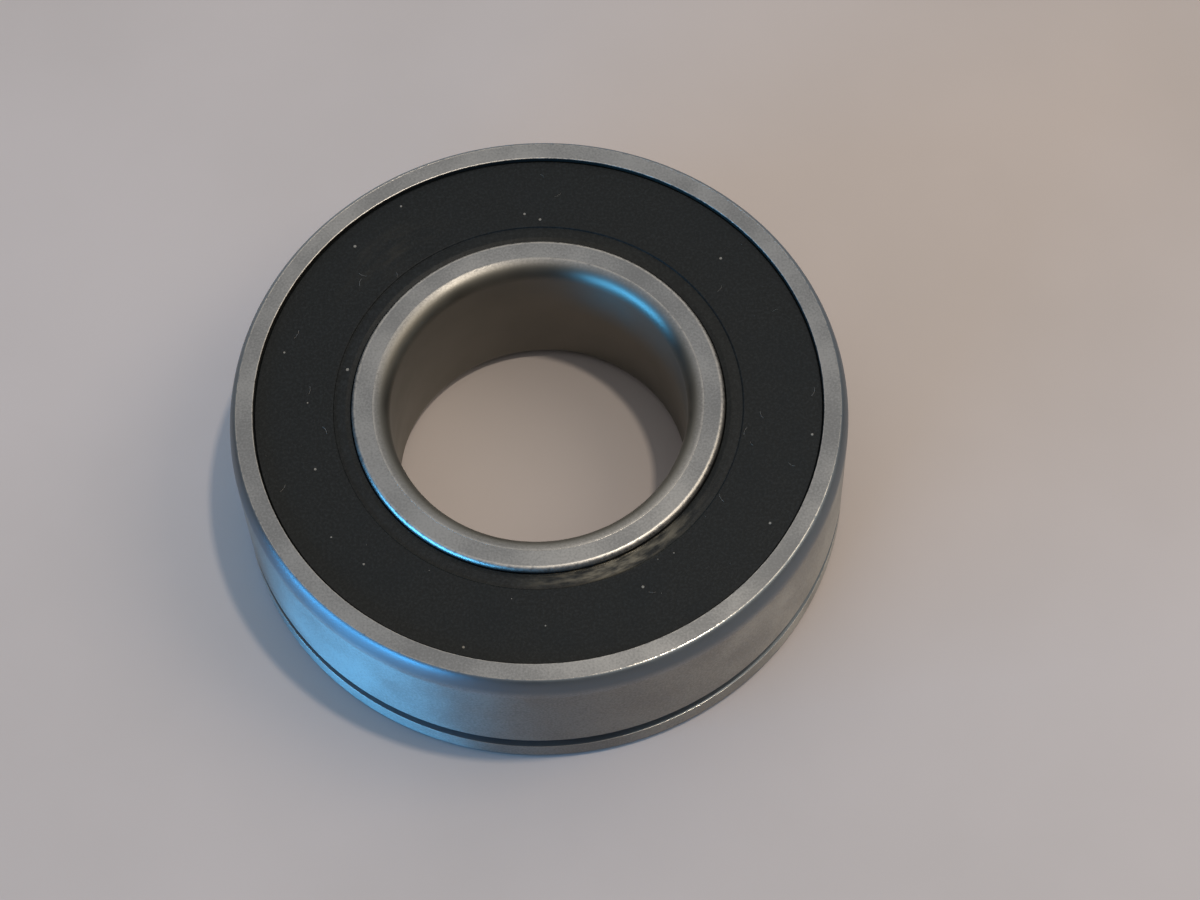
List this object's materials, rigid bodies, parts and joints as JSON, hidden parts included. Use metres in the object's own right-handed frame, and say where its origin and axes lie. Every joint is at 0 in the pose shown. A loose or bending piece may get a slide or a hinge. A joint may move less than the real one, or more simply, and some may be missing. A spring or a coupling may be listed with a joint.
{
  "type": "ball bearing",
  "caption": "Sealed deep groove ball bearing with a plain bore, rubber seals on both faces and a snap-ring groove near one side of the outer ring.",
  "frame": {"origin": "middle of the bore, at half the width of the rings", "axes": "+Z along the bearing axis, away from the snap-ring groove; X runs through the centre of one ball"},
  "size_m": [0.052, 0.052, 0.015],
  "materials": {
    "outer_ring_steel": "ground bearing steel, turned corners",
    "inner_ring_steel": "ground bearing steel, turned corners",
    "ball_steel": "lapped bearing steel",
    "cage_steel": "pressed sheet steel",
    "rivet_steel": "mild steel",
    "insert_steel": "pressed sheet steel",
    "seal_rubber": "matt moulded nitrile rubber"
  },
  "bodies": {
    "outer": {"outer_ring": "outer_ring_steel", "seal_upper_rubber": "seal_rubber", "seal_upper_insert": "insert_steel", "seal_lower_rubber": "seal_rubber", "seal_lower_insert": "insert_steel"},
    "inner": {"inner_ring": "inner_ring_steel"},
    "cage": {"cage_half_upper": "cage_steel", "cage_half_lower": "cage_steel", "cage_rivet_1": "rivet_steel", "cage_rivet_2": "rivet_steel", "cage_rivet_3": "rivet_steel", "cage_rivet_4": "rivet_steel", "cage_rivet_5": "rivet_steel", "cage_rivet_6": "rivet_steel", "cage_rivet_7": "rivet_steel", "cage_rivet_8": "rivet_steel", "cage_rivet_9": "rivet_steel"},
    "ball_1": {"ball_1": "ball_steel"},
    "ball_2": {"ball_2": "ball_steel"},
    "ball_3": {"ball_3": "ball_steel"},
    "ball_4": {"ball_4": "ball_steel"},
    "ball_5": {"ball_5": "ball_steel"},
    "ball_6": {"ball_6": "ball_steel"},
    "ball_7": {"ball_7": "ball_steel"},
    "ball_8": {"ball_8": "ball_steel"},
    "ball_9": {"ball_9": "ball_steel"}
  },
  "joints": [
    {"name": "inner_ring_spin", "type": "hinge", "parent": "outer", "child": "inner", "pos_m": [0, 0, 0], "axis": [0, 0, 1], "continuous": true},
    {"name": "cage_spin", "type": "hinge", "parent": "outer", "child": "cage", "pos_m": [0, 0, 0], "axis": [0, 0, 1], "continuous": true},
    {"name": "ball_1_spin", "type": "hinge", "parent": "cage", "child": "ball_1", "pos_m": [0.01925, 0, 0], "axis": [0, 0, 1], "continuous": true},
    {"name": "ball_2_spin", "type": "hinge", "parent": "cage", "child": "ball_2", "pos_m": [0.01475, 0.01237, 0], "axis": [0, 0, 1], "continuous": true},
    {"name": "ball_3_spin", "type": "hinge", "parent": "cage", "child": "ball_3", "pos_m": [0.00334, 0.01896, 0], "axis": [0, 0, 1], "continuous": true},
    {"name": "ball_4_spin", "type": "hinge", "parent": "cage", "child": "ball_4", "pos_m": [-0.00962, 0.01667, 0], "axis": [0, 0, 1], "continuous": true},
    {"name": "ball_5_spin", "type": "hinge", "parent": "cage", "child": "ball_5", "pos_m": [-0.01809, 0.00658, 0], "axis": [0, 0, 1], "continuous": true},
    {"name": "ball_6_spin", "type": "hinge", "parent": "cage", "child": "ball_6", "pos_m": [-0.01809, -0.00658, 0], "axis": [0, 0, 1], "continuous": true},
    {"name": "ball_7_spin", "type": "hinge", "parent": "cage", "child": "ball_7", "pos_m": [-0.00962, -0.01667, 0], "axis": [0, 0, 1], "continuous": true},
    {"name": "ball_8_spin", "type": "hinge", "parent": "cage", "child": "ball_8", "pos_m": [0.00334, -0.01896, 0], "axis": [0, 0, 1], "continuous": true},
    {"name": "ball_9_spin", "type": "hinge", "parent": "cage", "child": "ball_9", "pos_m": [0.01475, -0.01237, 0], "axis": [0, 0, 1], "continuous": true}
  ],
  "couplings": [
    {"joint": "cage_spin", "follows": "inner_ring_spin", "ratio": 0.39691},
    {"joint": "ball_1_spin", "follows": "inner_ring_spin", "ratio": -2.322},
    {"joint": "ball_2_spin", "follows": "inner_ring_spin", "ratio": -2.322},
    {"joint": "ball_3_spin", "follows": "inner_ring_spin", "ratio": -2.322},
    {"joint": "ball_4_spin", "follows": "inner_ring_spin", "ratio": -2.322},
    {"joint": "ball_5_spin", "follows": "inner_ring_spin", "ratio": -2.322},
    {"joint": "ball_6_spin", "follows": "inner_ring_spin", "ratio": -2.322},
    {"joint": "ball_7_spin", "follows": "inner_ring_spin", "ratio": -2.322},
    {"joint": "ball_8_spin", "follows": "inner_ring_spin", "ratio": -2.322},
    {"joint": "ball_9_spin", "follows": "inner_ring_spin", "ratio": -2.322}
  ]
}
